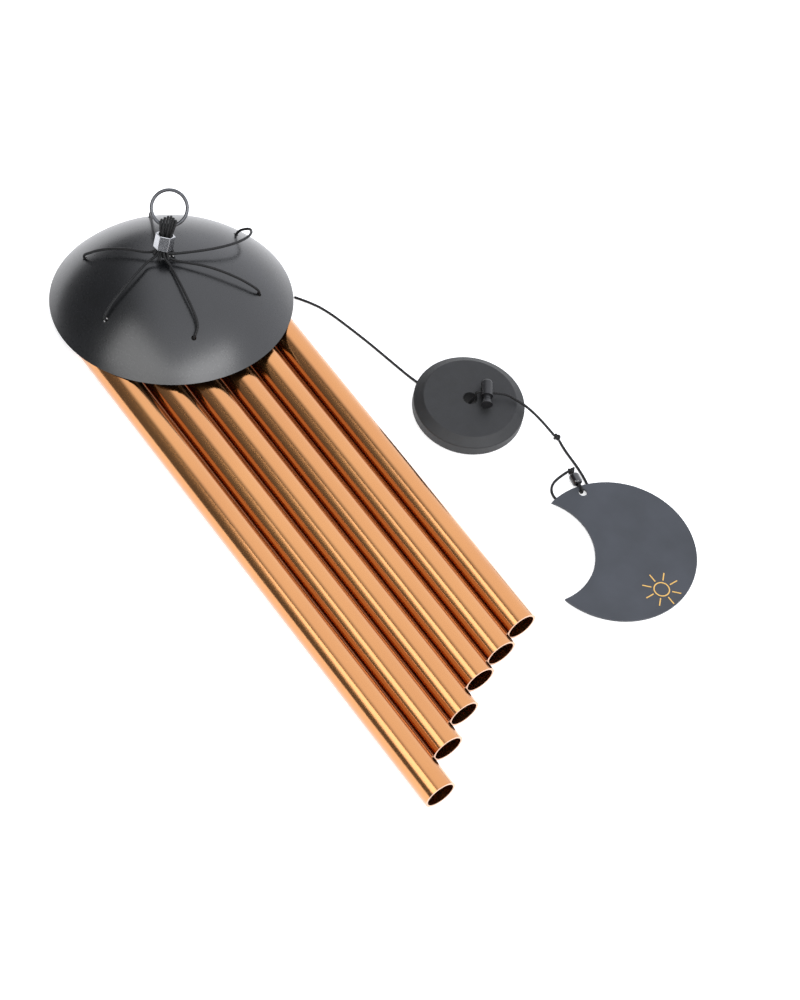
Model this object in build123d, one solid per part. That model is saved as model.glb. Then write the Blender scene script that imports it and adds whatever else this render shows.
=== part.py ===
from build123d import *
import math
import os

# Wind chime laid out flat on a table, millimetres, +Z up.
# +X runs along the tubes to their open ends, +Y from the tubes to the striker.
# The origin is the bottom centre of the box round the rigid pieces.

FIT = 0.15            # clearance a side of a close fit
GAP = 0.4             # clearance between pieces that only touch
TABLE_GAP = 0.1       # under what lies on the table

# --- tubes -----------------------------------------------------------------
TUBE_OD = 22.0
TUBE_WALL = 1.5
TUBE_SPACE = 1.1                  # between the tubes lying side by side
ROW_MID = -65.95                  # middle of their row
LONGEST = 400.0                   # tube 1
SEMITONES = (0, 2, 3, 5, 7, 8)    # notes of the tubes above tube 1
TUBE_TOPS = (-161.2, -162.45, -166.3, -160.11, -149.28, -149.1)   # X of each upper end
PIN_INSET = 8.0                   # tube top to its cross pin
PIN_DIA = 3.0

# --- dome ------------------------------------------------------------------
DOME_R = 81.5
DOME_RISE = 39.0
DOME_WALL = 1.2
RIM_SET_IN = 4.97                 # its rim lies on the outer tubes this far inside their crests
DOME_TURN = -8.2                  # the way it leans
DOME_X = -159.7
DOME_Y = -57.75
HOLE_CIRCLE_R = 60.0
HOLE_PHASE = -131.5               # first hole, in the dome's own frame
HOLE_PLAY = 0.8                   # round a cord in its hole
DRILL = 8.0                       # each side of the skin
DOME_HOLE_OF_TUBE = (1, 0, 2, 5, 3, 4)

# --- cords and knots --------------------------------------------------------
CORD_DIA = 1.8
KNOT_DIA = 5.0
KNOT_SEAT = 0.2                   # between a knot and what it stops against
KNOT_SKIN = 0.05                  # between a cord's end and its knot
ARC_SHARE = 0.45                  # of a straight run, given to the arc at each end

# --- hanging ring and crimp sleeve -----------------------------------------
RING_OD = 25.8
RING_WIRE = 2.3
SLEEVE_LENGTH = 10.0
SLEEVE_WALL = 0.81                # on the flats of its hexagon
SLEEVE_PLAY = 0.2                 # round the bundle of cords
SLEEVE_OVER = Vector(-2.43, -6.07, 8.39)   # dome's top to the sleeve's foot
SLEEVE_AXIS = Vector(-0.33, 0.38, 0.864)
SIDE_HINT = Vector(0.58, 0.80, 0.13)
RING_LEAN = Vector(-0.585, 0.475, 0.657)
RING_SHIFT = -1.45                # the ring hangs to one side of the sleeve
LOOP_REACH = 6.1                  # sleeve top to the ring's wire
RING_PLAY = 0.55                  # room for the ring to swing in the cords' loops

# --- striker, cord lock -----------------------------------------------------
STRIKER_DIA = 75.0
STRIKER_THICK = 12.5
STRIKER_BEVEL = 6.2               # wide bevel round its top
BEVEL_DROP = 4.4
STRIKER_EDGE = 1.2
STRIKER_HOLE = 9.6
STRIKER_X = 9.5
STRIKER_Y = 68.0
LOCK_DIA = 8.0
LOCK_LENGTH = 12.9
LOCK_BORE = 6.0
LOCK_END_WALL = 1.6
LOCK_CROWN_R = 2.6                # rounding of the closed end
LOCK_RUN = 3.0                    # cord straight out of the barrel's cross hole
LOCK_EYE_AT = 8.6                 # barrel's closed end to its eye
EYE_WEB = 1.2                     # plunger's inner end to its eye
LOCK_AXIS_ANGLE = -36.6
LOCK_X = 5.9
LOCK_Y = 83.75
PLUNGER_HEAD = 7.8
PLUNGER_NECK = 5.0
PLUNGER_REACH = 19.7              # barrel's closed end to the head's face
STEM_SHOW = 0.6                   # of the plunger's full stem outside the barrel
SPRING_WIRE = 0.5

# --- wind catcher -----------------------------------------------------------
CATCHER_R = 53.7
CATCHER_THICK = 1.5
CATCHER_X = 151.1
CATCHER_Y = 84.8
CUT_R = 40.6
CUT_X = 123.2                     # centre of the round bite
CUT_Y = 37.8
CATCHER_HOLE = 5.5
CATCHER_HOLE_X = 103.6
CATCHER_HOLE_Y = 93.8
BEAD_DIA = 7.2
BEAD_LENGTH = 8.6
BEAD_ROUNDING = 2.2
BEAD_AT = 11.0                    # catcher's hole to the bead's middle
BEAD_ANGLE = 168.5                # direction of the bead from the hole
TIE_IN_BEAD = 0.3                 # how far the tie's ends reach into the bead
TIE_EDGE = 5.2                    # catcher's hole to where the tie leaves the plate
TIE_PLAY = 0.25                   # between the tie and the plate
TIE_CORNER = 0.95                 # and where it turns down through the hole
MOTIF_X = 190.4
MOTIF_Y = 92.0
MOTIF_THICK = 0.12
SUN_R = 5.5
SUN_LINE = 0.8
RAYS = 8
RAY_START = 6.9
RAY_LENGTH = 6.0
RAY_WIDTH = 0.8

# --- worked out ---------------------------------------------------------------
TUBE_R = TUBE_OD / 2
TUBE_PITCH = TUBE_OD + TUBE_SPACE
TUBE_LENGTHS = [LONGEST * 2 ** (-n / 24) for n in SEMITONES]
CORD_R = CORD_DIA / 2
CORD_HOLE = CORD_DIA + 2 * HOLE_PLAY
LOCK_EYE = 2 * CORD_DIA           # cross hole of the barrel and of the plunger
ON_FLOOR = CORD_R + TABLE_GAP     # height of a cord's centre line on the table
UNDER = ON_FLOOR + CORD_R + GAP   # underside of a plate that lies on a cord



def tube_y(k):
    return ROW_MID + (k - (len(SEMITONES) - 1) / 2) * TUBE_PITCH


def rim_over_tube(k):
    # how far out along its lean the dome's rim crosses the crest of a tube
    aside = tube_y(k) - DOME_Y
    along = math.sqrt(DOME_R ** 2 - aside ** 2)
    turn = math.radians(DOME_TURN)
    return along * math.cos(turn) + aside * math.sin(turn)


# The dome lies on its far rim and on the outer tubes.
DOME_REST = min(rim_over_tube(0), rim_over_tube(len(SEMITONES) - 1)) - RIM_SET_IN
DOME_TILT = math.degrees(math.asin(TUBE_OD / (DOME_R + DOME_REST)))
DOME_Z = DOME_R * TUBE_OD / (DOME_R + DOME_REST) + TABLE_GAP
DOME_PLANE = Plane(
    origin=(DOME_X, DOME_Y, DOME_Z),
    x_dir=Vector(1, 0, 0).rotate(Axis.Y, -DOME_TILT).rotate(Axis.Z, DOME_TURN),
    z_dir=Vector(0, 0, 1).rotate(Axis.Y, -DOME_TILT).rotate(Axis.Z, DOME_TURN),
)
DOME_SPHERE_R = (DOME_R ** 2 + DOME_RISE ** 2) / (2 * DOME_RISE)
DOME_SPHERE_Z = DOME_RISE - DOME_SPHERE_R
LOCK_Z = UNDER + STRIKER_THICK + LOCK_DIA / 2 + GAP
LOCK_PLANE = Plane(
    origin=(LOCK_X, LOCK_Y, LOCK_Z),
    x_dir=Vector(1, 0, 0).rotate(Axis.Z, LOCK_AXIS_ANGLE),
    z_dir=(0, 0, 1),
)
CORD_IN_LOCK = LOCK_EYE_AT + LOCK_EYE / 2 - CORD_R - KNOT_SKIN
PLUNGER_EYE_AT = CORD_IN_LOCK - CORD_R - KNOT_SKIN + LOCK_EYE / 2
STEM_START = PLUNGER_EYE_AT - LOCK_EYE / 2 - EYE_WEB
PLUNGER_TRAVEL = PLUNGER_EYE_AT - LOCK_EYE_AT    # pressed, its eye lines up with the barrel's

os.makedirs("parts", exist_ok=True)


def save(name, shape):
    shape.label = name
    export_step(shape, "parts/" + name + ".step")


def rod(start, end, radius):
    axis = end - start
    return extrude(Plane(origin=start, z_dir=axis) * Circle(radius), axis.length)


def smooth_path(points):
    # straight runs joined by the largest tangent arcs that both runs allow
    radii = []
    for before, here, after in zip(points, points[1:], points[2:]):
        run_in = here - before
        run_out = after - here
        half_turn = math.radians(run_in.get_angle(run_out)) / 2
        radii.append(ARC_SHARE * min(run_in.length, run_out.length) / math.tan(half_turn))
    return FilletPolyline(*points, radius=radii), radii


def cord(name, points, diameter=CORD_DIA):
    points = [Vector(p) for p in points]
    path, radii = smooth_path(points)
    start = Plane(origin=path @ 0, z_dir=path % 0)
    solid = sweep(start * Circle(diameter / 2), path=path)
    swept = math.pi * diameter ** 2 / 4 * path.length
    print(name, "length", round(path.length, 1), "radii", [round(r, 1) for r in radii],
          "volume ratio", round(solid.volume / swept, 4))
    return solid


def dome_point(radius, angle, lift=0.0):
    # a point on the dome's outer skin, or lifted off it along its normal
    rise = math.sqrt(DOME_SPHERE_R ** 2 - radius ** 2)
    scale = 1 + lift / DOME_SPHERE_R
    a = math.radians(angle)
    local = Vector(radius * math.cos(a) * scale, radius * math.sin(a) * scale,
                   rise * scale + DOME_SPHERE_Z)
    return DOME_PLANE.from_local_coords(local)


def dome_hole(k, lift=0.0):
    return dome_point(HOLE_CIRCLE_R, HOLE_PHASE + 360 / len(SEMITONES) * k, lift)


# --- dome ------------------------------------------------------------------
def dome_cap():
    ball = Pos(0, 0, DOME_SPHERE_Z) * Sphere(DOME_SPHERE_R)
    inner = Pos(0, 0, DOME_SPHERE_Z) * Sphere(DOME_SPHERE_R - DOME_WALL)
    keep = Pos(0, 0, DOME_RISE) * Box(4 * DOME_R, 4 * DOME_R, 2 * DOME_RISE)
    cap = DOME_PLANE.location * ((ball - inner) & keep)
    for k in range(len(SEMITONES)):
        cap -= rod(dome_hole(k, -DRILL), dome_hole(k, DRILL), CORD_HOLE / 2)
    cap -= rod(dome_point(0, 0, -DRILL), dome_point(0, 0, DRILL), CORD_HOLE / 2)
    return cap


# --- tubes -------------------------------------------------------------------
def pin_centre(k):
    return Vector(TUBE_TOPS[k] + PIN_INSET, tube_y(k), TUBE_R)


def tube(k):
    along = Plane(origin=(TUBE_TOPS[k], tube_y(k), TUBE_R), z_dir=(1, 0, 0))
    body = extrude(along * (Circle(TUBE_R) - Circle(TUBE_R - TUBE_WALL)), TUBE_LENGTHS[k])
    across = Vector(0, TUBE_OD, 0)
    return body - rod(pin_centre(k) - across, pin_centre(k) + across, PIN_DIA / 2 + FIT)


def pin(k):
    half = Vector(0, TUBE_R - GAP, 0)
    return rod(pin_centre(k) - half, pin_centre(k) + half, PIN_DIA / 2)


def pin_knot(k):
    # the eye of knotted cord on the pin, inside the tube
    half = Vector(0, CORD_DIA, 0)
    outer = rod(pin_centre(k) - half, pin_centre(k) + half, PIN_DIA / 2 + CORD_DIA + FIT)
    return outer - rod(pin_centre(k) - half * 2, pin_centre(k) + half * 2, PIN_DIA / 2 + FIT)


# --- ring, sleeve and the cords through them ------------------------------------
SLEEVE_FOOT = dome_point(0, 0) + SLEEVE_OVER
AXIS = SLEEVE_AXIS.normalized()
SIDE = (SIDE_HINT - AXIS * SIDE_HINT.dot(AXIS)).normalized()
FRONT = SIDE.cross(AXIS)
SLEEVE_HEAD = SLEEVE_FOOT + AXIS * SLEEVE_LENGTH
RING_UP = (RING_LEAN - SIDE * RING_LEAN.dot(SIDE)).normalized()
RING_FACE = SIDE.cross(RING_UP)
RING_MID_R = (RING_OD - RING_WIRE) / 2
RING_FOOT = SLEEVE_HEAD + AXIS * LOOP_REACH + SIDE * RING_SHIFT
RING_CENTRE = RING_FOOT + RING_UP * RING_MID_R
LOOP_R = RING_WIRE / 2 + CORD_R + RING_PLAY


def ring():
    section = Plane(origin=RING_FOOT, x_dir=RING_UP, z_dir=SIDE) * Circle(RING_WIRE / 2)
    return revolve(section, axis=Axis(RING_CENTRE, RING_FACE), revolution_arc=360)


# Each tube's cord in its column across the sleeve, left to right: tube, whether its long run
# leaves on the front, the play of its loop over the wire, its cut end below the sleeve.
COLUMNS = (
    (1, False, 0.6, 5.0),
    (0, True, 2.5, 7.4),
    (3, False, 3.8, 8.6),
    (2, True, 4.0, 7.2),
    (4, True, 2.6, 7.0),
    (5, False, 0.7, 6.0),
)
MIDDLE_COLUMN = (len(COLUMNS) - 1) / 2
COLUMN_PITCH = CORD_DIA * 2 / 3   # in the sleeve, in two staggered rows a side
LOOP_PITCH = CORD_DIA + 0.1       # on the ring
INNER_ROW = CORD_R + 0.05         # strands before and behind the sleeve's middle plane
OUTER_ROW = CORD_DIA * 4 / 3
GRIP_START = 3.0                  # where the strands run straight in the sleeve
GRIP_STOP = 1.0                   # and how far below its top they stop doing so
EXIT_DROP = 3.6                   # straight out of the sleeve before the cord bends away
TAIL_FAN = 1.0                    # how far the cut ends spread, a column
TAIL_FLARE = 1.4                  # and away from the sleeve's middle plane
TAIL_BEND = 0.45                  # share of a cut end that runs nearly straight
BEND_FAN = 0.25                   # share of its spread reached there
LOOP_BULGE = 0.4                  # the loops are widest a little under the wire
LOOP_NECK = 1.5
BUNDLE_R = math.hypot(MIDDLE_COLUMN * COLUMN_PITCH, OUTER_ROW) + CORD_R
SLEEVE_BORE = 2 * (BUNDLE_R + SLEEVE_PLAY)


def sleeve():
    base = Plane(origin=SLEEVE_FOOT, x_dir=SIDE, z_dir=AXIS)
    corner_r = (SLEEVE_BORE / 2 + SLEEVE_WALL) / math.cos(math.pi / 6)
    hexagon = RegularPolygon(corner_r, 6) - Circle(SLEEVE_BORE / 2)
    return extrude(base * hexagon, SLEEVE_LENGTH)


def sleeve_spot(column, front, along):
    # centre of a strand in the sleeve, "along" up from its foot
    inner = (column % 2 == 0) if front else (column % 2 == 1)
    row = INNER_ROW if inner else OUTER_ROW
    across = SIDE * ((column - MIDDLE_COLUMN) * COLUMN_PITCH)
    return SLEEVE_FOOT + across + FRONT * (row if front else -row) + AXIS * along


def ring_spot(column, forward, up):
    # beside the ring's wire where a column crosses it
    angle = ((column - MIDDLE_COLUMN) * LOOP_PITCH - RING_SHIFT) / RING_MID_R
    wire = RING_CENTRE + (SIDE * math.sin(angle) - RING_UP * math.cos(angle)) * RING_MID_R
    return wire + RING_FACE * forward + RING_UP * up


def looped_end(column, leaves_front, loop_play, tail):
    # cut tail, up through the sleeve, over the ring's wire and back down
    first = not leaves_front
    sign = 1 if first else -1
    fan = SIDE * ((column - MIDDLE_COLUMN) * TAIL_FAN) + FRONT * (sign * TAIL_FLARE)
    foot = sleeve_spot(column, first, 0)
    high = SLEEVE_LENGTH - GRIP_STOP
    over = RING_WIRE / 2 + CORD_R + loop_play
    return [
        foot - AXIS * tail + fan,
        foot - AXIS * (tail * TAIL_BEND) + fan * BEND_FAN,
        sleeve_spot(column, first, GRIP_START),
        sleeve_spot(column, first, high),
        ring_spot(column, sign * (LOOP_R + LOOP_BULGE), -LOOP_NECK),
        ring_spot(column, sign * LOOP_R, over),
        ring_spot(column, -sign * LOOP_R, over),
        ring_spot(column, -sign * (LOOP_R + LOOP_BULGE), -LOOP_NECK),
        sleeve_spot(column, leaves_front, high),
        sleeve_spot(column, leaves_front, -EXIT_DROP),
    ]


# Where each tube's cord runs over the dome, from the sleeve to its hole.
SPOKES = (
    [(-168.4, -74.4, 53.6), (-165.6, -82.4, 53.2), (-162.4, -92.2, 51.2), (-159.0, -102.2, 47.4),
     (-156.6, -110.4, 43.2)],
    [(-175.4, -71.4, 54.0), (-183.4, -76.6, 51.4), (-192.2, -82.8, 47.0), (-200.6, -89.2, 40.6),
     (-206.4, -94.0, 33.8)],
    [(-157.6, -64.0, 55.8), (-147.8, -65.8, 56.6), (-136.0, -68.0, 56.4), (-125.0, -69.5, 54.4),
     (-115.6, -70.8, 51.2), (-110.2, -72.6, 48.6)],
    [(-177.6, -62.4, 57.6), (-184.8, -58.8, 56.2), (-194.0, -53.8, 51.0), (-203.8, -47.6, 44.2),
     (-212.4, -41.4, 36.2)],
    [(-159.8, -60.0, 55.8), (-153.8, -54.6, 56.8), (-146.4, -46.6, 57.2), (-138.8, -39.0, 56.0),
     (-131.4, -31.8, 53.4), (-124.8, -25.0, 49.4)],
    [(-163.2, -56.4, 56.8), (-159.4, -47.8, 57.2), (-155.4, -35.6, 56.6), (-153.4, -23.4, 54.8),
     (-153.8, -11.4, 51.6), (-157.0, -0.6, 47.4), (-162.4, 6.0, 42.6), (-168.2, 8.0, 38.8)],
)

# Under the dome, from each hole back to the mouth of its tube.
DROPS = (
    [(-152.6, -110.6, 27.8), (-156.2, -112.6, 26.4)],
    [(-201.6, -96.6, 17.6), (-194.0, -98.4, 15.6), (-184.0, -99.8, 19.4)],
    [(-113.6, -77.2, 36.2), (-122.6, -77.4, 31.0), (-135.6, -77.6, 30.2), (-150.0, -77.5, 31.8),
     (-163.7, -77.5, 31.0)],
    [(-214.4, -39.6, 15.6), (-205.0, -43.0, 12.6), (-194.0, -47.4, 13.4), (-183.0, -51.6, 19.0)],
    [(-123.6, -20.6, 33.4), (-129.6, -24.8, 29.4), (-137.6, -29.0, 31.4), (-146.6, -31.2, 32.2)],
    [(-170.6, -2.8, 24.4), (-168.0, -6.0, 20.8), (-161.6, -7.8, 22.8)],
)
MOUTH_ANGLE = 40.0                # rise of the cord out of a tube's mouth
MOUTH_RUN = 15.0                  # from the pin, straight out
EYE_JOIN = 1.0                    # pin to the cord's end in its knotted eye
HOLE_RUN_IN = 3.0                 # straight through the dome's skin: above it
HOLE_RUN_OUT = 4.2                # and below


def tube_cord(column):
    k, leaves_front, loop_play, tail = COLUMNS[column]
    rise = math.radians(MOUTH_ANGLE)
    out = Vector(-math.cos(rise), 0, math.sin(rise))
    hole = DOME_HOLE_OF_TUBE[k]
    points = looped_end(column, leaves_front, loop_play, tail)
    points += [Vector(p) for p in SPOKES[k]]
    points += [dome_hole(hole, HOLE_RUN_IN), dome_hole(hole, -HOLE_RUN_OUT)]
    points += [Vector(p) for p in DROPS[k]]
    points += [pin_centre(k) + out * MOUTH_RUN, pin_centre(k) + out * (PIN_DIA / 2 + EYE_JOIN)]
    body = cord("tube_%d_cord" % (k + 1), points)
    return k, body + pin_knot(k)


# --- striker -------------------------------------------------------------------
def striker():
    on_foot = (Align.CENTER, Align.CENTER, Align.MIN)
    wall = STRIKER_THICK - BEVEL_DROP
    disc = Cylinder(STRIKER_DIA / 2, wall, align=on_foot)
    bevel = Cone(STRIKER_DIA / 2, STRIKER_DIA / 2 - STRIKER_BEVEL, BEVEL_DROP, align=on_foot)
    disc += Pos(0, 0, wall) * bevel
    rims = disc.edges().filter_by(GeomType.CIRCLE)
    disc = fillet(rims, STRIKER_EDGE)
    disc -= Cylinder(STRIKER_HOLE / 2, STRIKER_THICK * 3)
    return Pos(STRIKER_X, STRIKER_Y, UNDER) * disc


# The lock's parts are made along +X from the barrel's closed end, then placed.
def lock_rod(start, end, radius):
    return Pos((start + end) / 2, 0, 0) * Rot(0, 90, 0) * Cylinder(radius, end - start)


def lock_eye(at):
    return Pos(at, 0, 0) * Rot(90, 0, 0) * Cylinder(LOCK_EYE / 2, LOCK_DIA * 2)


def lock_barrel():
    barrel = lock_rod(0, LOCK_LENGTH, LOCK_DIA / 2)
    closed_end = barrel.edges().filter_by(GeomType.CIRCLE).sort_by(Axis.X)[0]
    barrel = fillet(closed_end, LOCK_CROWN_R)
    barrel -= lock_rod(LOCK_END_WALL, LOCK_LENGTH + 1, LOCK_BORE / 2)
    return LOCK_PLANE.location * (barrel - lock_eye(LOCK_EYE_AT))


def lock_plunger():
    neck_start = LOCK_LENGTH + STEM_SHOW
    head_start = neck_start + PLUNGER_TRAVEL
    plunger = lock_rod(STEM_START, neck_start, LOCK_BORE / 2 - FIT)
    plunger += lock_rod(neck_start, head_start, PLUNGER_NECK / 2)
    head = Cone(PLUNGER_NECK / 2, PLUNGER_HEAD / 2, PLUNGER_REACH - head_start)
    plunger += Pos((head_start + PLUNGER_REACH) / 2, 0, 0) * Rot(0, 90, 0) * head
    return LOCK_PLANE.location * (plunger - lock_eye(PLUNGER_EYE_AT))


def lock_spring():
    # the coil spring as its plain outer sleeve
    outer_r = LOCK_BORE / 2 - 2 * FIT
    sleeve_shape = lock_rod(LOCK_END_WALL, STEM_START, outer_r)
    sleeve_shape -= lock_rod(LOCK_END_WALL, STEM_START, outer_r - SPRING_WIRE)
    return LOCK_PLANE.location * sleeve_shape


# --- wind catcher ----------------------------------------------------------------
def catcher():
    disc = Pos(CATCHER_X, CATCHER_Y) * Circle(CATCHER_R)
    bite = Pos(CUT_X, CUT_Y) * Circle(CUT_R)
    eye = Pos(CATCHER_HOLE_X, CATCHER_HOLE_Y) * Circle(CATCHER_HOLE / 2)
    return extrude(Plane.XY.offset(UNDER) * (disc - bite - eye), CATCHER_THICK)


def motif():
    # a plain sun with eight rays, printed on the plate
    at = Plane(origin=(MOTIF_X, MOTIF_Y, UNDER + CATCHER_THICK))
    face = Circle(SUN_R) - Circle(SUN_R - SUN_LINE)
    ray = Pos(RAY_START + RAY_LENGTH / 2, 0) * Rectangle(RAY_LENGTH, RAY_WIDTH)
    solids = extrude(at * face, MOTIF_THICK)
    for k in range(RAYS):
        solids += extrude(at * Rot(0, 0, 360 / RAYS * k) * ray, MOTIF_THICK)
    return solids


HOLE_POINT = Vector(CATCHER_HOLE_X, CATCHER_HOLE_Y, 0)
OUTWARD = Vector(1, 0, 0).rotate(Axis.Z, BEAD_ANGLE)
BEAD_MID = HOLE_POINT + OUTWARD * BEAD_AT + Vector(0, 0, BEAD_DIA / 2 + TABLE_GAP)
TIE_HALF = CORD_R + FIT           # bead's axis to each of the tie's two strands
BEAD_BORE = 2 * (TIE_HALF + CORD_R) + 0.1
TIE_TURN = CATCHER_HOLE / 2 - CORD_R - TIE_CORNER


def bead():
    at = Plane(origin=BEAD_MID, z_dir=OUTWARD)
    body = Cylinder(BEAD_DIA / 2, BEAD_LENGTH)
    ends = body.edges().filter_by(GeomType.CIRCLE)
    body = fillet(ends, BEAD_ROUNDING)
    return at * (body - Cylinder(BEAD_BORE / 2, BEAD_LENGTH * 2))


def knot(centre, diameter=KNOT_DIA):
    return Pos(*centre) * Sphere(diameter / 2)


LINE_KNOT = Vector(58.6, 106.6, KNOT_DIA / 2 + TABLE_GAP)
KNOT_END = KNOT_DIA / 2 + KNOT_SKIN    # where a cord meets its knot
BEAD_KNOT = BEAD_MID + OUTWARD * (BEAD_LENGTH / 2 + KNOT_DIA / 2 + KNOT_SEAT)


def catcher_loop():
    # a tie from the bead through the catcher's hole and back
    top = UNDER + CATCHER_THICK + CORD_R + TIE_PLAY
    inside = OUTWARD * (BEAD_AT - BEAD_LENGTH / 2 + TIE_IN_BEAD)
    edge = OUTWARD * TIE_EDGE
    turn = OUTWARD * TIE_TURN
    lift = Vector(0, 0, 1)
    return cord("catcher_loop", [
        HOLE_POINT + inside + lift * (BEAD_MID.Z + TIE_HALF),
        HOLE_POINT + edge + lift * top,
        HOLE_POINT + turn + lift * top,
        HOLE_POINT + turn + lift * ON_FLOOR,
        HOLE_POINT + edge + lift * ON_FLOOR,
        HOLE_POINT + inside + lift * (BEAD_MID.Z - TIE_HALF),
    ])


# --- free cords --------------------------------------------------------------------
RIM_EXIT = Vector(-127.0, 21.2, ON_FLOOR)
FIRST_ON_TABLE = Vector(-116.3, 29.3, ON_FLOOR)
LINE_SPLIT = 1.3                  # between the dome's stretch of the striker's cord and the rest

INNER_ROUTE = [
    dome_point(0, 0, 0.1),
    dome_point(0, 0, -6.0),
    (-168.6, -62.0, 34.0),
    (-172.0, -66.5, 20.0),
    (-175.5, -66.0, 8.0),
    (-178.0, -58.0, 2.2),
    (-178.6, -46.0, ON_FLOOR),
    (-177.0, -30.0, ON_FLOOR),
    (-172.5, -14.0, ON_FLOOR),
    (-159.5, -0.8, ON_FLOOR),
    (-143.4, 8.8, ON_FLOOR),
    RIM_EXIT - (FIRST_ON_TABLE - RIM_EXIT).normalized() * LINE_SPLIT,
]

LOCK_IN = LOCK_PLANE.from_local_coords(Vector(CORD_IN_LOCK, -LOCK_DIA / 2 - LOCK_RUN, 0))
LOCK_OUT = LOCK_PLANE.from_local_coords(Vector(CORD_IN_LOCK, LOCK_DIA / 2 + LOCK_RUN, 0))

STRIKER_ROUTE = [
    RIM_EXIT,
    FIRST_ON_TABLE,
    (-102.8, 34.9, ON_FLOOR),
    (-87.0, 39.0, ON_FLOOR),
    (-69.0, 43.3, ON_FLOOR),
    (-49.0, 47.2, ON_FLOOR),
    (-30.0, 51.0, ON_FLOOR),
    (-15.0, 56.0, ON_FLOOR),
    (-1.0, 63.0, ON_FLOOR),
    (7.6, 66.9, ON_FLOOR + 0.2),
    (9.8, 68.4, 8.5),
    (10.6, 71.6, 16.9),
    LOCK_IN,
    LOCK_OUT,
    (21.6, 89.3, 18.6),
    (28.0, 92.6, 17.6),
    (34.4, 96.0, 16.0),
    (40.2, 99.6, 12.0),
    (46.2, 102.9, 7.4),
    (52.0, 105.2, 3.6),
    LINE_KNOT - Vector(0.95, 0.31, 0) * KNOT_END,
]

CATCHER_ROUTE = [
    LINE_KNOT + Vector(0.99, -0.12, 0) * (KNOT_END + FIT),
    (66.0, 105.9, 1.3),
    (74.0, 105.2, ON_FLOOR),
    (84.0, 104.6, ON_FLOOR),
    (93.5, 103.2, ON_FLOOR),
    (102.0, 100.9, ON_FLOOR),
    (108.6, 97.2, ON_FLOOR),
    (112.4, 91.2, ON_FLOOR),
    (111.8, 84.4, ON_FLOOR),
    (106.8, 79.4, ON_FLOOR),
    (99.8, 76.4, ON_FLOOR),
    (92.6, 76.4, ON_FLOOR),
    (87.2, 80.6, ON_FLOOR),
    (85.0, 87.2, ON_FLOOR + 0.5),
    BEAD_KNOT + Vector(-0.35, -0.93, -0.15) * KNOT_END,
]


save("dome_cap", dome_cap())
save("hanging_ring", ring())
save("crimp_sleeve", sleeve())
for number in range(len(SEMITONES)):
    save("tube_%d" % (number + 1), tube(number))
    save("tube_%d_pin" % (number + 1), pin(number))
for number in range(len(SEMITONES)):
    tube_number, solid = tube_cord(number)
    save("tube_%d_cord" % (tube_number + 1), solid)
save("dome_knot", knot(dome_point(0, 0, KNOT_DIA / 2 + KNOT_SEAT)))
save("striker_cord_inner", cord("striker_cord_inner", INNER_ROUTE))
save("striker_cord", cord("striker_cord", STRIKER_ROUTE))
save("striker", striker())
save("lock_barrel", lock_barrel())
save("lock_plunger", lock_plunger())
save("lock_spring", lock_spring())
save("line_knot", knot(LINE_KNOT))
save("catcher_cord", cord("catcher_cord", CATCHER_ROUTE))
save("bead_knot", knot(BEAD_KNOT))
save("bead", bead())
save("catcher_loop", catcher_loop())
save("catcher", catcher())
save("catcher_motif", motif())
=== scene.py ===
import bmesh
import bpy
import math
from mathutils import Matrix, Vector


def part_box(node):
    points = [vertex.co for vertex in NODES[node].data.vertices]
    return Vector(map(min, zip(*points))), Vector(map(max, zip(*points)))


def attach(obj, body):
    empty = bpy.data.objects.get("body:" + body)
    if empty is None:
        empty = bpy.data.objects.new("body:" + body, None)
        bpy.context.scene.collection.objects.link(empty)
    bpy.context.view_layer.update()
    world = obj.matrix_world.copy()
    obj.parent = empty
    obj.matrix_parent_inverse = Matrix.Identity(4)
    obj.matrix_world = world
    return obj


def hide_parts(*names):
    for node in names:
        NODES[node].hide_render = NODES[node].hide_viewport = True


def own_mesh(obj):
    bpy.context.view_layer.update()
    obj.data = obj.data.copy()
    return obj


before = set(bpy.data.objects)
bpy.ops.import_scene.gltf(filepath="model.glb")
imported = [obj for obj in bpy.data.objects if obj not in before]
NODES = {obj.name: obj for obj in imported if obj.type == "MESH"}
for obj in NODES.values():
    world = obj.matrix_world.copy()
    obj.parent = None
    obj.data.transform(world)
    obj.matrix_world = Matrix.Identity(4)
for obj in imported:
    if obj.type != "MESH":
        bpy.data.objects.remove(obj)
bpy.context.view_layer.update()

# Wind chime laid out on a table. Sizes are in millimetres here and in metres in Blender.
MM = 0.001
ORIGIN = Vector((0, 0, 0))


def mm(*place):
    return Vector(place) * MM


# --- camera ---------------------------------------------------------------------
CAMERA_PLACE = mm(811.48, -830.71, 1602.15)
CAMERA_TURN = (34.233, -7.678, 54.261)      # degrees
CAMERA_LENS = 108


def make_camera():
    lens = bpy.data.cameras.new("camera")
    lens.lens = CAMERA_LENS
    lens.sensor_width = 36
    lens.clip_end = 20
    camera = bpy.data.objects.new("camera", lens)
    camera.location = CAMERA_PLACE
    camera.rotation_euler = [math.radians(angle) for angle in CAMERA_TURN]
    bpy.context.scene.collection.objects.link(camera)
    bpy.context.scene.camera = camera


make_camera()

# --- sizes shared with the CAD model ------------------------------------------------
CORD_DIA = 1.8
CORD_R = CORD_DIA / 2
ON_FLOOR = CORD_R + 0.1           # height of a cord's centre line on the table
FIT = 0.15
PIN_R = 1.5
TUBE_Y = [-123.7 + 23.1 * k for k in range(6)]
KNOT_DIA = 5.0

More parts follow.
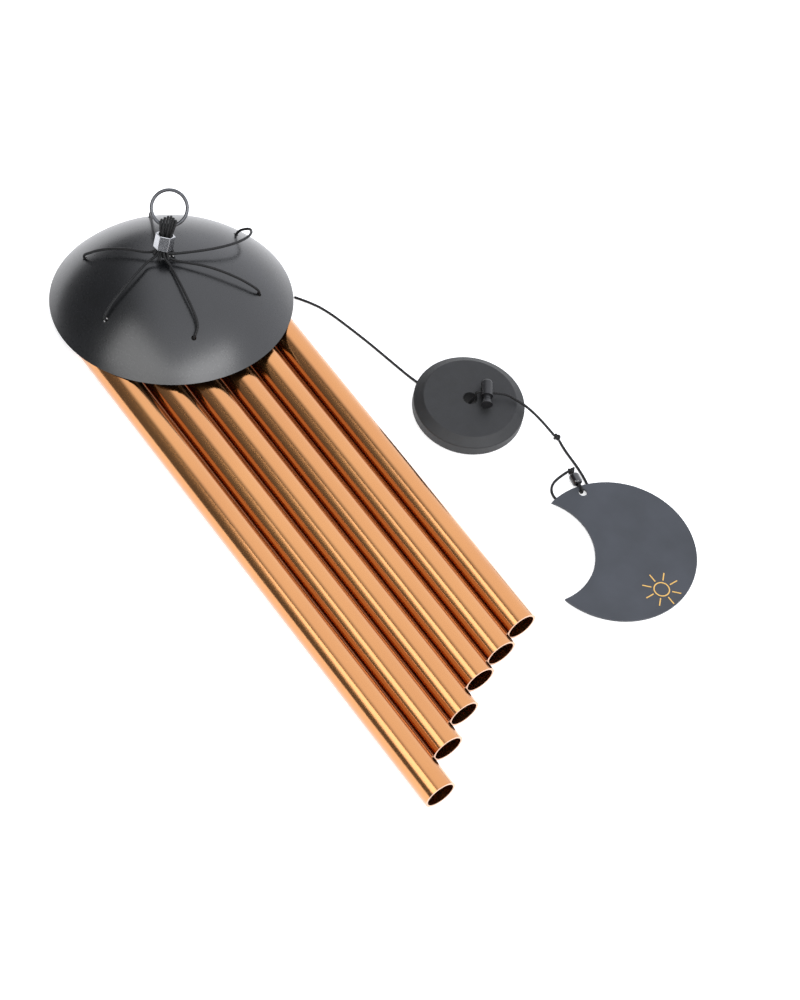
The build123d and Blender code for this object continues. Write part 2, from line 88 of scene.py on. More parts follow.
DOME_SPHERE_R = (81.5 ** 2 + 39.0 ** 2) / (2 * 39.0)
DOME_LEAN = math.asin(22.0 / (81.5 + 51.83))
DOME_CENTRE = Vector((-159.7, -57.75, 81.5 * math.sin(DOME_LEAN) + 0.1))
DOME_TURN = Matrix.Rotation(math.radians(-8.2), 3, "Z") @ Matrix.Rotation(-DOME_LEAN, 3, "Y")
HOLE_CIRCLE_R = 60.0
HOLE_PHASE = -131.5
DOME_HOLE_OF_TUBE = (1, 0, 2, 5, 3, 4)

SLEEVE_FOOT = Vector((-168.5, -62.9, 60.4))
SLEEVE_LENGTH = 10.0
SLEEVE_WALL = 0.81
AXIS = Vector((-0.33, 0.38, 0.864)).normalized()
SIDE_HINT = Vector((0.58, 0.80, 0.13))
SIDE = (SIDE_HINT - AXIS * SIDE_HINT.dot(AXIS)).normalized()
FRONT = SIDE.cross(AXIS)
RING_LEAN = Vector((-0.585, 0.475, 0.657))
RING_UP = (RING_LEAN - SIDE * RING_LEAN.dot(SIDE)).normalized()
RING_FACE = SIDE.cross(RING_UP)
RING_WIRE_R = 1.15
RING_MID_R = 11.75
RING_SHIFT = -1.45
RING_FOOT = SLEEVE_FOOT + AXIS * (SLEEVE_LENGTH + 6.1) + SIDE * RING_SHIFT
RING_CENTRE = RING_FOOT + RING_UP * RING_MID_R

LOCK_X = Vector((math.cos(math.radians(-36.6)), math.sin(math.radians(-36.6)), 0))
LOCK_Y = Vector((-LOCK_X.y, LOCK_X.x, 0))
LOCK_START = Vector((5.9, 83.75, 19.2))
CORD_IN_LOCK = 9.45

LINE_KNOT = Vector((58.6, 106.6, 2.6))
CATCHER_HOLE = Vector((103.6, 93.8, 0))
OUTWARD = Vector((math.cos(math.radians(168.5)), math.sin(math.radians(168.5)), 0))
BEAD_MID = CATCHER_HOLE + OUTWARD * 11.0 + Vector((0, 0, 3.7))
BEAD_KNOT = BEAD_MID + OUTWARD * 7.0


def dome_point(radius, angle, lift=0.0):
    # a point on the dome's outer skin, or lifted off it along its normal
    rise = math.sqrt(DOME_SPHERE_R ** 2 - radius ** 2)
    scale = 1 + lift / DOME_SPHERE_R
    a = math.radians(angle)
    local = Vector((radius * math.cos(a) * scale, radius * math.sin(a) * scale,
                    rise * scale + 39.0 - DOME_SPHERE_R))
    return DOME_CENTRE + DOME_TURN @ local


def dome_hole(number, lift):
    return dome_point(HOLE_CIRCLE_R, HOLE_PHASE + 60 * number, lift)


# --- routes of the cords ---------------------------------------------------------------
# Each tube's cord in its column across the sleeve, left to right: tube, whether its long run
# leaves on the front, the play of its loop over the wire, its cut end below the sleeve.
COLUMNS = (
    (1, False, 0.6, 5.0),
    (0, True, 2.5, 7.4),
    (3, False, 3.8, 8.6),
    (2, True, 4.0, 7.2),
    (4, True, 2.6, 7.0),
    (5, False, 0.7, 6.0),
)
MIDDLE_COLUMN = 2.5
COLUMN_PITCH = CORD_DIA * 2 / 3
LOOP_PITCH = CORD_DIA + 0.1
INNER_ROW = CORD_R + 0.05
OUTER_ROW = CORD_DIA * 4 / 3
GRIP_START = 3.0
GRIP_STOP = 9.0
EXIT_DROP = 3.6
TAIL_FLARE = 1.4
TAIL_BEND = 0.45
BEND_FAN = 0.25
LOOP_R = RING_WIRE_R + CORD_R + 0.55
LOOP_BULGE = 0.4
LOOP_NECK = 1.5
BUNDLE_R = math.hypot(MIDDLE_COLUMN * COLUMN_PITCH, OUTER_ROW) + CORD_R
SLEEVE_BORE = 2 * (BUNDLE_R + 0.2)


def sleeve_spot(column, front, along):
    # centre of a strand in the sleeve, "along" up from its foot
    inner = (column % 2 == 0) if front else (column % 2 == 1)
    row = INNER_ROW if inner else OUTER_ROW
    across = SIDE * ((column - MIDDLE_COLUMN) * COLUMN_PITCH)
    return SLEEVE_FOOT + across + FRONT * (row if front else -row) + AXIS * along


def ring_spot(column, forward, up):
    # beside the ring's wire where a column crosses it
    angle = ((column - MIDDLE_COLUMN) * LOOP_PITCH - RING_SHIFT) / RING_MID_R
    wire = RING_CENTRE + (SIDE * math.sin(angle) - RING_UP * math.cos(angle)) * RING_MID_R
    return wire + RING_FACE * forward + RING_UP * up


def looped_end(column, leaves_front, loop_play, tail):
    # cut tail, up through the sleeve, over the ring's wire and back down
    first = not leaves_front
    sign = 1 if first else -1
    fan = SIDE * (column - MIDDLE_COLUMN) + FRONT * (sign * TAIL_FLARE)
    foot = sleeve_spot(column, first, 0)
    over = RING_WIRE_R + CORD_R + loop_play
    return [
        foot - AXIS * tail + fan,
        foot - AXIS * (tail * TAIL_BEND) + fan * BEND_FAN,
        sleeve_spot(column, first, GRIP_START),
        sleeve_spot(column, first, GRIP_STOP),
        ring_spot(column, sign * (LOOP_R + LOOP_BULGE), -LOOP_NECK),
        ring_spot(column, sign * LOOP_R, over),
        ring_spot(column, -sign * LOOP_R, over),
        ring_spot(column, -sign * (LOOP_R + LOOP_BULGE), -LOOP_NECK),
        sleeve_spot(column, leaves_front, GRIP_STOP),
        sleeve_spot(column, leaves_front, -EXIT_DROP),
    ]


# Where each tube's cord runs over the dome, from the sleeve to its hole.
SPOKES = (
    [(-168.4, -74.4, 53.6), (-165.6, -82.4, 53.2), (-162.4, -92.2, 51.2), (-159.0, -102.2, 47.4),
     (-156.6, -110.4, 43.2)],
    [(-175.4, -71.4, 54.0), (-183.4, -76.6, 51.4), (-192.2, -82.8, 47.0), (-200.6, -89.2, 40.6),
     (-206.4, -94.0, 33.8)],
    [(-157.6, -64.0, 55.8), (-147.8, -65.8, 56.6), (-136.0, -68.0, 56.4), (-125.0, -69.5, 54.4),
     (-115.6, -70.8, 51.2), (-110.2, -72.6, 48.6)],
    [(-177.6, -62.4, 57.6), (-184.8, -58.8, 56.2), (-194.0, -53.8, 51.0), (-203.8, -47.6, 44.2),
     (-212.4, -41.4, 36.2)],
    [(-159.8, -60.0, 55.8), (-153.8, -54.6, 56.8), (-146.4, -46.6, 57.2), (-138.8, -39.0, 56.0),
     (-131.4, -31.8, 53.4), (-124.8, -25.0, 49.4)],
    [(-163.2, -56.4, 56.8), (-159.4, -47.8, 57.2), (-155.4, -35.6, 56.6), (-153.4, -23.4, 54.8),
     (-153.8, -11.4, 51.6), (-157.0, -0.6, 47.4), (-162.4, 6.0, 42.6), (-168.2, 8.0, 38.8)],
)

# Under the dome, from each hole back to the mouth of its tube.
DROPS = (
    [(-152.6, -110.6, 27.8), (-156.2, -112.6, 26.4)],
    [(-201.6, -96.6, 17.6), (-194.0, -98.4, 15.6), (-184.0, -99.8, 19.4)],
    [(-113.6, -77.2, 36.2), (-122.6, -77.4, 31.0), (-135.6, -77.6, 30.2), (-150.0, -77.5, 31.8),
     (-163.7, -77.5, 31.0)],
    [(-214.4, -39.6, 15.6), (-205.0, -43.0, 12.6), (-194.0, -47.4, 13.4), (-183.0, -51.6, 19.0)],
    [(-123.6, -20.6, 33.4), (-129.6, -24.8, 29.4), (-137.6, -29.0, 31.4), (-146.6, -31.2, 32.2)],
    [(-170.6, -2.8, 24.4), (-168.0, -6.0, 20.8), (-161.6, -7.8, 22.8)],
)
MOUTH_ANGLE = math.radians(40)
MOUTH_OUT = Vector((-math.cos(MOUTH_ANGLE), 0, math.sin(MOUTH_ANGLE)))


def pin_centre(k):
    low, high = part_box("tube_%d_pin" % (k + 1))
    return (low + high) / (2 * MM)


def tube_route(column):
    k, leaves_front, loop_play, tail = COLUMNS[column]
    hole = DOME_HOLE_OF_TUBE[k]
    route = looped_end(column, leaves_front, loop_play, tail)
    route += [Vector(p) for p in SPOKES[k]]
    route += [dome_hole(hole, 3.0), dome_hole(hole, -4.2)]
    route += [Vector(p) for p in DROPS[k]]
    route += [pin_centre(k) + MOUTH_OUT * 15.0, pin_centre(k) + MOUTH_OUT * 2.5]
    return k, route


RIM_EXIT = Vector((-127.0, 21.2, ON_FLOOR))
FIRST_ON_TABLE = Vector((-116.3, 29.3, ON_FLOOR))

INNER_ROUTE = [
    dome_point(0, 0, 0.1),
    dome_point(0, 0, -6.0),
    (-168.6, -62.0, 34.0),
    (-172.0, -66.5, 20.0),
    (-175.5, -66.0, 8.0),
    (-178.0, -58.0, 2.2),
    (-178.6, -46.0, ON_FLOOR),
    (-177.0, -30.0, ON_FLOOR),
    (-172.5, -14.0, ON_FLOOR),
    (-159.5, -0.8, ON_FLOOR),
    (-143.4, 8.8, ON_FLOOR),
    RIM_EXIT - (FIRST_ON_TABLE - RIM_EXIT).normalized() * 1.3,
]

STRIKER_ROUTE = [
    RIM_EXIT,
    FIRST_ON_TABLE,
    (-102.8, 34.9, ON_FLOOR),
    (-87.0, 39.0, ON_FLOOR),
    (-69.0, 43.3, ON_FLOOR),
    (-49.0, 47.2, ON_FLOOR),
    (-30.0, 51.0, ON_FLOOR),
    (-15.0, 56.0, ON_FLOOR),
    (-1.0, 63.0, ON_FLOOR),
    (7.6, 66.9, ON_FLOOR + 0.2),
    (9.8, 68.4, 8.5),
    (10.6, 71.6, 16.9),
    LOCK_START + LOCK_X * CORD_IN_LOCK - LOCK_Y * 7.0,
    LOCK_START + LOCK_X * CORD_IN_LOCK + LOCK_Y * 7.0,
    (21.6, 89.3, 18.6),
    (28.0, 92.6, 17.6),
    (34.4, 96.0, 16.0),
    (40.2, 99.6, 12.0),
    (46.2, 102.9, 7.4),
    (52.0, 105.2, 3.6),
    LINE_KNOT - Vector((0.95, 0.31, 0)) * 2.55,
]

CATCHER_ROUTE = [
    LINE_KNOT + Vector((0.99, -0.12, 0)) * 2.7,
    (66.0, 105.9, 1.3),
    (74.0, 105.2, ON_FLOOR),
    (84.0, 104.6, ON_FLOOR),
    (93.5, 103.2, ON_FLOOR),
    (102.0, 100.9, ON_FLOOR),
    (108.6, 97.2, ON_FLOOR),
    (112.4, 91.2, ON_FLOOR),
    (111.8, 84.4, ON_FLOOR),
    (106.8, 79.4, ON_FLOOR),
    (99.8, 76.4, ON_FLOOR),
    (92.6, 76.4, ON_FLOOR),
    (87.2, 80.6, ON_FLOOR),
    (85.0, 87.2, ON_FLOOR + 0.5),
    BEAD_KNOT + Vector((-0.35, -0.93, -0.15)) * 2.55,
]

TIE_END = 7.0
TIE_EDGE = 5.2
TIE_TURN = 0.9
TIE_TOP = 5.05
TIE_HALF = CORD_R + FIT
CATCHER_LOOP_ROUTE = [
    CATCHER_HOLE + OUTWARD * TIE_END + Vector((0, 0, BEAD_MID.z + TIE_HALF)),
    CATCHER_HOLE + OUTWARD * TIE_EDGE + Vector((0, 0, TIE_TOP)),
    CATCHER_HOLE + OUTWARD * TIE_TURN + Vector((0, 0, TIE_TOP)),
    CATCHER_HOLE + OUTWARD * TIE_TURN + Vector((0, 0, ON_FLOOR)),
    CATCHER_HOLE + OUTWARD * TIE_EDGE + Vector((0, 0, ON_FLOOR)),
    CATCHER_HOLE + OUTWARD * TIE_END + Vector((0, 0, BEAD_MID.z - TIE_HALF)),
]


# --- making braided cord -------------------------------------------------------------------
BRAID_SIDES = 16
BRAID_STEP = 0.3    # between rings of the mesh
BRAID_PITCH = 3.4                 # a strand's way once round the cord is four of these
BRAID_DEPTH = 0.05                # how far the strands stand out, as a share of the radius


def settled_line(route):
    # the smooth line that a cord takes along its route
    curve = bpy.data.curves.new("line", "CURVE")
    curve.dimensions = "3D"
    curve.resolution_u = 40
    spline = curve.splines.new("NURBS")
    spline.points.add(len(route) - 1)
    for point, place in zip(spline.points, route):
        point.co = (*(Vector(place) * MM), 1)
    spline.order_u = 3
    spline.use_endpoint_u = True
    holder = bpy.data.objects.new("line", curve)
    bpy.context.scene.collection.objects.link(holder)
    bpy.context.view_layer.update()
    mesh = bpy.data.meshes.new_from_object(holder)
    line = [v.co.copy() for v in mesh.vertices]
    bpy.data.objects.remove(holder)
    bpy.data.meshes.remove(mesh)
    return line


def evenly(line, step):
    # the same line with its points a step apart
    places = [line[0].copy()]
    left = step
    for start, end in zip(line, line[1:]):
        run = (end - start).length
        while left < run:
            places.append(start.lerp(end, left / run))
            left += step
        left -= run
    if (places[-1] - line[-1]).length > step / 3:
        places.append(line[-1].copy())
    return places


def frames_along(line):
    frames = []
    side = None
    for i, here in enumerate(line):
        ahead = (line[min(i + 1, len(line) - 1)] - line[max(i - 1, 0)]).normalized()
        side = ahead.orthogonal() if side is None else side - ahead * side.dot(ahead)
        side.normalize()
        turn = Matrix((side, ahead.cross(side), ahead)).transposed().to_4x4()
        frames.append(Matrix.Translation(here) @ turn)
    return frames


def new_strand_mesh():
    bm = bmesh.new()
    bm.verts.layers.float.new("turn")
    bm.verts.layers.float.new("braid")
    return bm


def add_strand(bm, line, radius, sides=BRAID_SIDES, depth=BRAID_DEPTH):
    # a tube along a line, with the crossing strands of a braid standing out of its skin
    turn = bm.verts.layers.float["turn"]
    braid = bm.verts.layers.float["braid"]
    frames = frames_along(line)
    step = (line[1] - line[0]).length
    ring = bmesh.ops.create_circle(bm, cap_ends=True, segments=sides, radius=radius)["verts"]
    for k, vert in enumerate(ring):
        vert[turn] = k / sides
    edges = list({edge for vert in ring for edge in vert.link_edges})
    for k, place in enumerate(frames):
        if k:
            grown = bmesh.ops.extrude_edge_only(bm, edges=edges)["geom"]
            ring = [part for part in grown if isinstance(part, bmesh.types.BMVert)]
            fresh = set(ring)
            edges = [part for part in grown if isinstance(part, bmesh.types.BMEdge)
                     and part.verts[0] in fresh and part.verts[1] in fresh]
        to_end = min(k, len(frames) - 1 - k) * step
        rounding = min(1.0, 0.6 + 0.5 * to_end / radius)
        phase = 2 * math.pi * k * step / (BRAID_PITCH * MM)
        for vert in ring:
            angle = 2 * math.pi * vert[turn]
            # the braid value sets how far the strands stand out; the cord material also darkens its low
            # grooves from it as painted shade
            vert[braid] = 0.5 + 0.5 * math.sin(4 * angle + phase) * math.sin(4 * angle - phase)
            reach = radius * rounding * (1 + depth * (2 * vert[braid] - 1))
            vert.co = place @ Vector((reach * math.cos(angle), reach * math.sin(angle), 0))
    bmesh.ops.contextual_create(bm, geom=edges)


def finished(bm, name, smooth=True):
    bmesh.ops.recalc_face_normals(bm, faces=bm.faces)
    mesh = bpy.data.meshes.new(name)
    bm.to_mesh(mesh)
    bm.free()
    for face in mesh.polygons:
        face.use_smooth = smooth
    piece = bpy.data.objects.new(name, mesh)
    bpy.context.scene.collection.objects.link(piece)
    return piece


def painted(piece, material):
    piece.data.materials.clear()
    piece.data.materials.append(material)
    return piece


def cord_piece(name, route, body, node):
    line = evenly(settled_line(route), BRAID_STEP * MM)
    bm = new_strand_mesh()
    add_strand(bm, line, CORD_R * MM)
    piece = finished(bm, name)
    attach(piece, body)
    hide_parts(node)
    return piece, line


LEAD_START = 0.9                  # a knot's middle to where a lead comes out of it
LEAD_STEP = 0.3
LEAD_RINGS = 9


def overhand_knot(name, centre, along, body, leads):
    # a single overhand knot pulled tight, with a short lead towards each cord that leaves it
    turn = Vector(along).to_track_quat("X", "Z").to_matrix()
    line = []
    for k in range(97):
        t = 2 * math.pi * k / 96
        local = Vector((math.sin(t) + 2 * math.sin(2 * t), math.cos(t) - 2 * math.cos(2 * t),
                        -1.9 * math.sin(3 * t)))
        line.append((centre + turn @ local * 0.54) * MM)
    bm = new_strand_mesh()
    add_strand(bm, line, CORD_R * MM * 0.98)
    for lead in leads:
        way = Vector(lead).normalized()
        steps = [(centre + way * (LEAD_START + LEAD_STEP * k)) * MM for k in range(LEAD_RINGS)]
        add_strand(bm, steps, CORD_R * MM * 0.98)
    piece = finished(bm, name)
    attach(piece, body)
    return piece


def coil_line(start, axis, radius, pitch, turns, steps):
    # a helix round an axis
    across = axis.orthogonal().normalized()
    third = axis.cross(across)
    line = []
    for k in range(int(turns * steps) + 1):
        a = 2 * math.pi * k / steps
        out = across * math.cos(a) + third * math.sin(a)
        line.append((start + out * radius + axis * (pitch * k / steps)) * MM)
    return line


def pin_eye(k):
    # the cord's knotted eye round the cross pin of a tube
    line = coil_line(pin_centre(k) - Vector((0, CORD_R, 0)), Vector((0, 1, 0)),
                     PIN_R + FIT + CORD_R, CORD_DIA, 1.0, 60)
    bm = new_strand_mesh()
    add_strand(bm, line, CORD_R * MM)
    piece = finished(bm, "tube_%d_eye" % (k + 1))
    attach(piece, "dome")
    return piece


# --- materials ---------------------------------------------------------------------------
def linear(code):
    # an sRGB hex colour as linear light
    parts = [int(code[i:i + 2], 16) / 255 for i in (1, 3, 5)]
    return tuple(c / 12.92 if c <= 0.04045 else ((c + 0.055) / 1.055) ** 2.4 for c in parts) + (1,)


def add(tree, kind, settings=None, links=None):
    # one node with its settings and what feeds it
    made = tree.nodes.new("ShaderNode" + kind)
    for key, value in (settings or {}).items():
        if isinstance(key, str) and hasattr(made, key):
            setattr(made, key, value)
        else:
            made.inputs[key].default_value = value
    for key, source in (links or {}).items():
        tree.links.new(source, made.inputs[key])
    return made


def blank(name):
    material = bpy.data.materials.new(name)
    material.use_nodes = True
    tree = material.node_tree
    tree.nodes.clear()
    return material, tree


def two_tones(tree, factor, low, high, start=0.3, end=0.7):
    ramp = add(tree, "ValToRGB", links={"Fac": factor})
    ramp.color_ramp.elements[0].position = start
    ramp.color_ramp.elements[0].color = linear(low)
    ramp.color_ramp.elements[1].position = end
    ramp.color_ramp.elements[1].color = linear(high)
    return ramp.outputs["Color"]


def span(tree, factor, low, high):
    return add(tree, "MapRange", {"To Min": low, "To Max": high}, {"Value": factor}).outputs["Result"]


def grain(tree, size, stretch=(1, 1, 1), detail=2.0):
    # noise whose spots are about "size" millimetres, stretched along the axes
    place = add(tree, "TexCoord").outputs["Object"]
    scaled = add(tree, "Mapping", {"Scale": stretch}, {"Vector": place}).outputs["Vector"]
    noise = add(tree, "TexNoise", {"Scale": 1 / (size * MM), "Detail": detail}, {"Vector": scaled})
    return noise.outputs["Fac"]


def finish_shader(tree, settings, links, bump=None, bump_height=0.02, bump_strength=0.3):
    shader = add(tree, "BsdfPrincipled", settings, links)
    if bump is not None:
        bumps = add(tree, "Bump", {"Strength": bump_strength, "Distance": bump_height * MM},
                    {"Height": bump})
        tree.links.new(bumps.outputs["Normal"], shader.inputs["Normal"])
    add(tree, "OutputMaterial", links={"Surface": shader.outputs["BSDF"]})


def powder_coated_steel():
    # satin black powder coat: a fine orange peel, drawn twice as coarse as the real one so that
    # it shows, which breaks up a broad soft sheen
    material, tree = blank("powder_coated_steel")
    fine = grain(tree, 1.0)
    wide = grain(tree, 14.0)
    finish_shader(tree, {"IOR": 1.62},
                  {"Base Color": two_tones(tree, wide, "#060708", "#0a0b0d"),
                   "Roughness": span(tree, fine, 0.24, 0.34)},
                  fine, 0.06, 0.45)
    return material


def anodised_copper_tube():
    # copper-dyed anodised aluminium under its clear sealed oxide skin; polished before, so
    # it mirrors in soft bands along each tube
    material, tree = blank("anodised_copper_tube")
    cloud = grain(tree, 30.0, (0.3, 1, 1))
    finish_shader(tree, {"Metallic": 1.0, "Coat Weight": 0.9, "Coat Roughness": 0.14},
                  {"Base Color": two_tones(tree, cloud, "#b87c45", "#be834a"),
                   "Roughness": span(tree, cloud, 0.16, 0.2)})
    return material


def dark_nickel_wire():
    # black nickel plate over drawn wire: a dark mirror with faint cloudiness
    material, tree = blank("dark_nickel_wire")
    cloud = grain(tree, 1.5)
    finish_shader(tree, {"Metallic": 1.0},
                  {"Base Color": two_tones(tree, cloud, "#4a4b4d", "#56575a"),
                   "Roughness": span(tree, cloud, 0.26, 0.38)})
    return material


def drawn_aluminium_sleeve():
    # bright drawn aluminium, with fine lines along the sleeve
    material, tree = blank("drawn_aluminium_sleeve")
    cloud = grain(tree, 0.6, (1, 1, 0.3))
    finish_shader(tree, {"Metallic": 1.0},
                  {"Base Color": two_tones(tree, cloud, "#9fa0a3", "#b0b1b4"),
                   "Roughness": span(tree, cloud, 0.16, 0.3)},
                  cloud, 0.01, 0.15)
    return material


def plain_steel_pin():
    # bright mild steel rod
    material, tree = blank("plain_steel_pin")
    cloud = grain(tree, 0.8)
    finish_shader(tree, {"Metallic": 1.0},
                  {"Base Color": two_tones(tree, cloud, "#a9abae", "#bcbec1"),
                   "Roughness": span(tree, cloud, 0.25, 0.38)})
    return material


def braided_polyester():
    # black braid: the raised strands are smoother and catch a dull sheen, and the base colour is darker
    # in the grooves between them as painted shade
    material, tree = blank("braided_polyester")
    strand = add(tree, "Attribute", {"attribute_name": "braid"}).outputs["Fac"]
    fibre = grain(tree, 0.12, detail=3.0)
    finish_shader(tree, {"Sheen Weight": 0.04, "Sheen Roughness": 0.4, "IOR": 1.4},
                  # painted shade: the base colour darkens where the braid value sinks into the grooves
                  # between strands
                  {"Base Color": two_tones(tree, strand, "#020202", "#08080a", 0.15, 0.85),
                   "Roughness": span(tree, strand, 0.8, 0.5)},
                  fibre, 0.02, 0.4)
    return material


def textured_black_lacquer():
    # wood under a crackled black lacquer: coarse grains that glint one by one
    material, tree = blank("textured_black_lacquer")
    fine = grain(tree, 0.5)
    wide = grain(tree, 6.0)
    finish_shader(tree, {"IOR": 1.5},
                  {"Base Color": two_tones(tree, wide, "#0c0d0e", "#121315"),
                   "Roughness": span(tree, fine, 0.5, 0.66)},
                  fine, 0.08, 0.6)
    return material


def moulded_black_plastic():
    # moulded acetal of the cord lock: matte with a faint spark texture
    material, tree = blank("moulded_black_plastic")
    fine = grain(tree, 0.25)
    finish_shader(tree, {"IOR": 1.48},
                  {"Base Color": two_tones(tree, fine, "#121214", "#19191b"),
                   "Roughness": span(tree, fine, 0.38, 0.5)},
                  fine, 0.015, 0.3)
    return material


def phosphor_bronze_wire():
    # the lock's coil spring: a golden glint in the barrel
    material, tree = blank("phosphor_bronze_wire")
    cloud = grain(tree, 0.5)
    finish_shader(tree, {"Metallic": 1.0},
                  {"Base Color": two_tones(tree, cloud, "#cfa055", "#e0b56c"),
                   "Roughness": span(tree, cloud, 0.18, 0.3)})
    return material


def polished_black_bead():
    # polished black glass-like plastic with a clear skin
    material, tree = blank("polished_black_bead")
    cloud = grain(tree, 2.0)
    finish_shader(tree, {"IOR": 1.55, "Coat Weight": 0.6, "Coat Roughness": 0.04},
                  {"Base Color": two_tones(tree, cloud, "#08080a", "#0d0d10"),
                   "Roughness": span(tree, cloud, 0.1, 0.16)})
    return material


def anodised_slate_sheet():
    # slate-dyed matte anodised aluminium sheet: a fine blasted grain, no mirror in it
    material, tree = blank("anodised_slate_sheet")
    fine = grain(tree, 0.3)
    wide = grain(tree, 20.0)
    finish_shader(tree, {"Metallic": 0.35, "IOR": 1.5},
                  {"Base Color": two_tones(tree, wide, "#33363b", "#393c42"),
                   "Roughness": span(tree, fine, 0.5, 0.6)},
                  fine, 0.01, 0.25)
    return material


def gold_print():
    # metallic gold ink, a little uneven
    material, tree = blank("gold_print")
    cloud = grain(tree, 0.4)
    finish_shader(tree, {"Metallic": 0.9},
                  {"Base Color": two_tones(tree, cloud, "#c29a55", "#d8b06a"),
                   "Roughness": span(tree, cloud, 0.3, 0.42)})
    return material


BRAID = braided_polyester()
COPPER = anodised_copper_tube()
STEEL = plain_steel_pin()
PLASTIC = moulded_black_plastic()

# --- the cords, first of all -----------------------------------------------------------------
for column in range(6):
    tube_number, route = tube_route(column)
    number = tube_number + 1
    eye = painted(pin_eye(tube_number), BRAID)
    cord, line = cord_piece("tube_%d_braid" % number, route, "dome", "tube_%d_cord" % number)
    painted(cord, BRAID)

top_knot = overhand_knot("dome_stopper", dome_point(0, 0, KNOT_DIA / 2 + 0.2), AXIS, "dome", [])
line_knot = overhand_knot("line_overhand", LINE_KNOT, Vector((1, 0.1, 0)), "striker_line",
                          [(-0.95, -0.31, 0), (0.99, -0.12, 0)])
bead_knot = overhand_knot("bead_overhand", BEAD_KNOT, OUTWARD, "catcher_line",
                          [(-0.35, -0.93, -0.15), (-0.2, 0.9, 0.35)])
for knot, node in ((top_knot, "dome_knot"), (line_knot, "line_knot"), (bead_knot, "bead_knot")):
    painted(knot, BRAID)
    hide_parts(node)

inner, line = cord_piece("striker_braid_inner", INNER_ROUTE, "dome", "striker_cord_inner")
painted(inner, BRAID)

striker_line, line = cord_piece("striker_braid", STRIKER_ROUTE, "striker_line", "striker_cord")
painted(striker_line, BRAID)

loop, _ = cord_piece("catcher_loop_braid", CATCHER_LOOP_ROUTE, "catcher_line", "catcher_loop")
painted(loop, BRAID)
catcher_line, line = cord_piece("catcher_braid", CATCHER_ROUTE, "catcher_line", "catcher_cord")
painted(catcher_line, BRAID)


# --- crimp sleeve -----------------------------------------------------------------------------
SLEEVE_EDGE = 0.3                 # rounding of its corners and ends


def crimped_sleeve():
    # a tube pressed to a plain hexagon, with every edge a little rounded
    bm = bmesh.new()
    bore = SLEEVE_BORE / 2
    across = (bore + SLEEVE_WALL) / math.cos(math.pi / 6)
    outer = bmesh.ops.create_circle(bm, segments=6, radius=across)["verts"]
    inner = bmesh.ops.create_circle(bm, segments=48, radius=bore)["verts"]
    bmesh.ops.rotate(bm, cent=ORIGIN, matrix=Matrix.Rotation(math.pi / 6, 3, "Z"), verts=outer)
    rims = [edge for vert in outer + inner for edge in vert.link_edges]
    bmesh.ops.triangle_fill(bm, use_beauty=True, edges=list(set(rims)), normal=(0, 0, 1))
    made = bmesh.ops.extrude_face_region(bm, geom=bm.faces[:])["geom"]
    top = [part for part in made if isinstance(part, bmesh.types.BMVert)]
    bmesh.ops.translate(bm, vec=(0, 0, SLEEVE_LENGTH), verts=top)
    sharp = [edge for edge in bm.edges if all(vert.co.xy.length > across - 0.01 for vert in edge.verts)]
    bmesh.ops.bevel(bm, geom=sharp, offset=SLEEVE_EDGE, segments=3, profile=0.5, affect="EDGES")
    place = Matrix((SIDE, AXIS.cross(SIDE), AXIS)).transposed().to_4x4()
    bmesh.ops.transform(bm, matrix=Matrix.Translation(SLEEVE_FOOT * MM) @ place @ Matrix.Scale(MM, 4),
                        verts=bm.verts)
    piece = finished(bm, "sleeve_crimp", smooth=False)
    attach(piece, "dome")
    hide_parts("crimp_sleeve")
    return piece


painted(crimped_sleeve(), drawn_aluminium_sleeve())


# --- spring of the cord lock --------------------------------------------------------------------
SPRING_START = 1.6
SPRING_END = 7.3
SPRING_COIL_R = 2.45
SPRING_WIRE_R = 0.25
SPRING_TURNS = 5


def lock_coil_spring():
    free = SPRING_END - SPRING_START - 2 * SPRING_WIRE_R
    start = LOCK_START + LOCK_X * (SPRING_START + SPRING_WIRE_R)
    line = coil_line(start, LOCK_X, SPRING_COIL_R, free / SPRING_TURNS, SPRING_TURNS, 32)
    bm = new_strand_mesh()
    add_strand(bm, line, SPRING_WIRE_R * MM, sides=8, depth=0.0)
    piece = finished(bm, "lock_coil_spring")
    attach(piece, "striker_line")
    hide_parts("lock_spring")
    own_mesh(piece)
    return piece


painted(lock_coil_spring(), phosphor_bronze_wire())

# --- finishes of the CAD pieces -------------------------------------------------------------------
for k in range(1, 7):
    painted(NODES["tube_%d" % k], COPPER)
    painted(NODES["tube_%d_pin" % k], STEEL)
painted(NODES["dome_cap"], powder_coated_steel())
painted(NODES["hanging_ring"], dark_nickel_wire())
painted(NODES["striker"], textured_black_lacquer())
painted(NODES["lock_barrel"], PLASTIC)
painted(NODES["lock_plunger"], PLASTIC)
painted(NODES["bead"], polished_black_bead())
painted(NODES["catcher"], anodised_slate_sheet())
painted(NODES["catcher_motif"], gold_print())


# --- table and light --------------------------------------------------------------------------------
# The paper stops close behind the dome, which is dark on that side.
TABLE_OUTLINE = ((4, -4), (4, 4), (-6.1, 4), (-0.35, -0.155), (-0.35, -4))
PAPER_GLOW = 0.45                 # lit from below too, which keeps the shadows faint


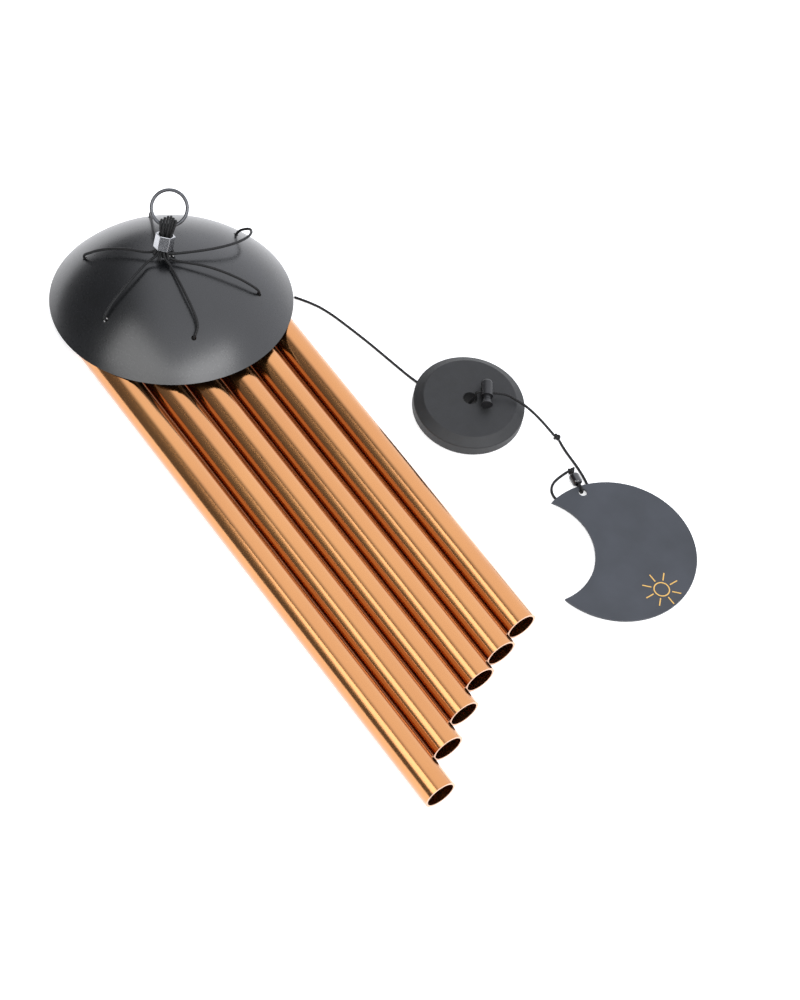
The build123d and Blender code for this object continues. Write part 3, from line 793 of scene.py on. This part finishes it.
def table_top():
    bm = bmesh.new()
    corners = [bm.verts.new((x, y, 0)) for x, y in TABLE_OUTLINE]
    bmesh.ops.contextual_create(bm, geom=corners)
    piece = finished(bm, "table", smooth=False)
    material, tree = blank("white_paper_sweep")
    paper = add(tree, "BsdfDiffuse", {"Color": linear("#ececec")})
    glow = add(tree, "Emission", {"Strength": PAPER_GLOW})
    both = add(tree, "AddShader", links={0: paper.outputs[0], 1: glow.outputs[0]})
    add(tree, "OutputMaterial", links={"Surface": both.outputs[0]})
    piece.data.materials.append(material)


def soft_box(name, place, aim, size, radiance):
    light = bpy.data.lights.new(name, "AREA")
    light.shape = "RECTANGLE"
    light.size, light.size_y = size
    light.energy = radiance * math.pi * size[0] * size[1]
    lamp = bpy.data.objects.new(name, light)
    lamp.location = place
    lamp.rotation_euler = (Vector(aim) - Vector(place)).to_track_quat("-Z", "Y").to_euler()
    lamp.visible_camera = False
    bpy.context.scene.collection.objects.link(lamp)


BRIGHT_SIDE = (0.25, 0.8, 0.55)   # towards the white wall of the studio
DARK_SKY = 0.2
BRIGHT_SKY = 1.75


def studio():
    # a white wall behind the striker and overhead, a dark room on the side of the longest tube
    world = bpy.data.worlds.new("studio")
    bpy.context.scene.world = world
    world.use_nodes = True
    tree = world.node_tree
    tree.nodes.clear()
    way = add(tree, "TexCoord").outputs["Generated"]
    facing = add(tree, "VectorMath", {"operation": "DOT_PRODUCT", 1: BRIGHT_SIDE}, {0: way})
    level = add(tree, "MapRange", {"interpolation_type": "SMOOTHSTEP", "From Min": 0.0,
                                   "From Max": 0.45, "To Min": DARK_SKY, "To Max": BRIGHT_SKY},
                {"Value": facing.outputs["Value"]}).outputs["Result"]
    sky = add(tree, "Background", {"Color": linear("#f6f8ff")}, {"Strength": level})
    add(tree, "OutputWorld", links={"Surface": sky.outputs[0]})
    soft_box("left_box", (0.27, -1.75, 1.5), (0.27, -1.75, 0), (2.0, 1.9), 3.3)
    soft_box("front_box", (1.3, 0.0, 1.5), (1.3, 0.0, 0), (0.9, 1.6), 4.8)
    bpy.context.scene.view_settings.view_transform = "Standard"


table_top()
studio()
